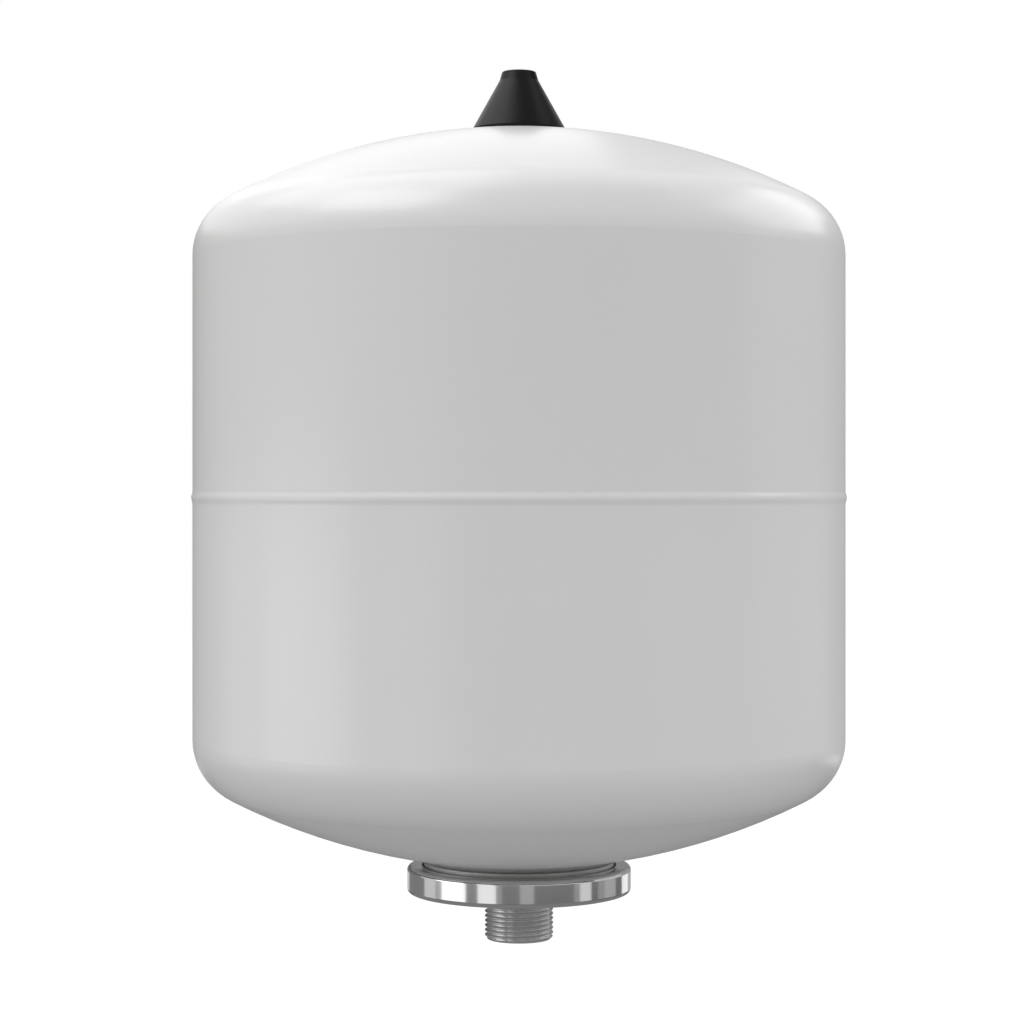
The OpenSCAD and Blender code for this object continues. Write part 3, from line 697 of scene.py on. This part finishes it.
panels = [
    {"name": "groundPanel", "angle": 0, "rise": -90, "distance": 0.52,
     "width": 2.0, "height": 2.0, "tone": 0.26},
    {"name": "farGroundPanel", "angle": 0, "rise": -90, "distance": 0.525,
     "width": 4.0, "height": 4.0, "tone": 0.12},
    {"name": "topPanel", "angle": 25, "rise": 62, "distance": 1.6,
     "width": 1.6, "height": 1.1, "tone": 0.1},
    {"name": "backPanel", "angle": 134, "rise": 42, "distance": 1.6,
     "width": 1.3, "height": 1.0, "tone": 0.9},
    {"name": "crownPanel", "angle": 182, "rise": 40, "distance": 1.62,
     "width": 0.9, "height": 1.0, "tone": 0.5},
    {"name": "leftBrowPanel", "angle": -58, "rise": 48, "distance": 1.25,
     "width": 0.75, "height": 0.58, "tone": 4.4},
    {"name": "rightBrowPanel", "angle": 113, "rise": 31, "distance": 1.45,
     "width": 1.4, "height": 0.8, "tone": 2.7, "notOn": "valve_cover"}]


def roundDirection(angle, rise):
    a, e = math.radians(angle), math.radians(rise)
    return Vector((math.sin(a) * math.cos(e), -math.cos(a) * math.cos(e), math.sin(e)))


def glowMaterial(name, tone):
    material = bpy.data.materials.new(name)
    material.use_nodes = True
    tree = material.node_tree
    tree.nodes.clear()
    glow = addNode(tree, "ShaderNodeEmission")
    glow.inputs["Strength"].default_value = tone
    link(tree, glow.outputs[0], addNode(tree, "ShaderNodeOutputMaterial").inputs["Surface"])
    return material


def seenRays(tree):
    # 1 where the ray comes from the camera or from something shiny or clear
    path = addNode(tree, "ShaderNodeLightPath").outputs
    shiny = math2(tree, "MAXIMUM", path["Is Glossy Ray"], path["Is Transmission Ray"])
    return math2(tree, "MAXIMUM", path["Is Camera Ray"], shiny)


def buildWorld():
    world = bpy.data.worlds.new("studioWorld")
    bpy.context.scene.world = world
    world.use_nodes = True
    tree = world.node_tree
    tree.nodes.clear()
    parts = addNode(tree, "ShaderNodeSeparateXYZ")
    link(tree, addNode(tree, "ShaderNodeTexCoord").outputs["Generated"], parts.inputs[0])
    rise = addNode(tree, "ShaderNodeMapRange", interpolation_type="SMOOTHSTEP")
    link(tree, parts.outputs["Z"], rise.inputs["Value"])
    for key, value in (("From Min", -studio["skyFade"]), ("From Max", studio["skyFade"]),
                       ("To Min", studio["groundLevel"]), ("To Max", studio["skyLevel"])):
        rise.inputs[key].default_value = value
    fill = addNode(tree, "ShaderNodeBackground")
    link(tree, rise.outputs["Result"], fill.inputs["Strength"])
    white = addNode(tree, "ShaderNodeBackground")
    for background in (fill, white):
        background.inputs["Color"].default_value = (1, 1, 1, 1)
    choose = addNode(tree, "ShaderNodeMixShader")
    link(tree, seenRays(tree), choose.inputs[0])
    link(tree, fill.outputs[0], choose.inputs[1])
    link(tree, white.outputs[0], choose.inputs[2])
    link(tree, choose.outputs[0], addNode(tree, "ShaderNodeOutputWorld").inputs["Surface"])


def buildFloor():
    clearSelection()
    bpy.ops.mesh.primitive_plane_add(size=studio["floorSize"], location=(0, 0, studio["floorZ"]))
    floor = nameNew("studioFloor")
    material, tree, principled = newMaterial("floorPaper")
    tone = studio["floorTone"]
    principled.inputs["Base Color"].default_value = (tone, tone, tone, 1)
    principled.inputs["Roughness"].default_value = studio["floorRoughness"]
    principled.inputs["Specular IOR Level"].default_value = studio["floorGloss"]
    principled.inputs["Emission Color"].default_value = (1, 1, 1, 1)
    glow = math2(tree, "MULTIPLY", seenRays(tree), studio["floorGlow"])
    link(tree, glow, principled.inputs["Emission Strength"])
    floor.data.materials.append(material)


def hangSoftBox(box):
    centre = Vector(studio["centre"])
    away = roundDirection(box["angle"], box["rise"])
    clearSelection()
    bpy.ops.object.light_add(type="AREA", location=centre + away * box["distance"])
    lamp = bpy.context.object
    lamp.name = box["name"]
    lamp.rotation_euler = away.to_track_quat("Z", "Y").to_euler()
    lamp.data.shape = "RECTANGLE"
    lamp.data.size = box["width"]
    lamp.data.size_y = box["height"]
    lamp.data.energy = box["glow"] * math.pi * box["width"] * box["height"]
    lamp.visible_camera = False


def onlyInReflections(card, tone):
    card.data.materials.append(glowMaterial(card.name, tone))
    for ray in ("camera", "diffuse", "transmission", "volume_scatter", "shadow"):
        setattr(card, "visible_" + ray, False)


def keepOff(card, node):
    # light linking: every piece but this one shows the card
    lit = bpy.data.collections.new(card.name + "Receivers")
    lit.objects.link(nodes[node])
    lit.collection_objects[0].light_linking.link_state = "EXCLUDE"
    card.light_linking.receiver_collection = lit


def addCard(name, place, turn, width, height, tone):
    clearSelection()
    bpy.ops.mesh.primitive_plane_add(size=1, location=place, rotation=turn)
    card = nameNew(name)
    card.scale = (width, height, 1)
    bpy.ops.object.transform_apply(location=True, rotation=True, scale=True)
    onlyInReflections(card, tone)
    return card


def standCards(tier):
    low, high = tier["low"], tier["high"]
    number = 0
    for start, end, tone in tier["cards"]:
        leaves = math.ceil((end - start) / cardStand["widest"])  # a wide card is folded into flat leaves
        spread = (end - start) / leaves
        width = 2 * cardStand["distance"] * math.tan(math.radians(spread) / 2)
        for leaf in range(leaves):
            middle = start + (leaf + 0.5) * spread
            place = roundDirection(middle, 0) * cardStand["distance"]
            place.z = (low + high) / 2
            number += 1
            turn = (math.pi / 2, 0, math.radians(middle))
            addCard(tier["name"] + str(number), place, turn, width, high - low, tone)


def hangPanel(panel):
    away = roundDirection(panel["angle"], panel["rise"])
    place = Vector(studio["centre"]) + away * panel["distance"]
    turn = away.to_track_quat("Z", "Y").to_euler()
    card = addCard(panel["name"], place, turn, panel["width"], panel["height"], panel["tone"])
    if "notOn" in panel:
        keepOff(card, panel["notOn"])


buildWorld()
buildFloor()
for box in softBoxes:
    hangSoftBox(box)
for tier in cardTiers:
    standCards(tier)
for panel in panels:
    hangPanel(panel)
bpy.context.scene.view_settings.view_transform = "Standard"
print("studio lit by", len(softBoxes), "soft boxes")
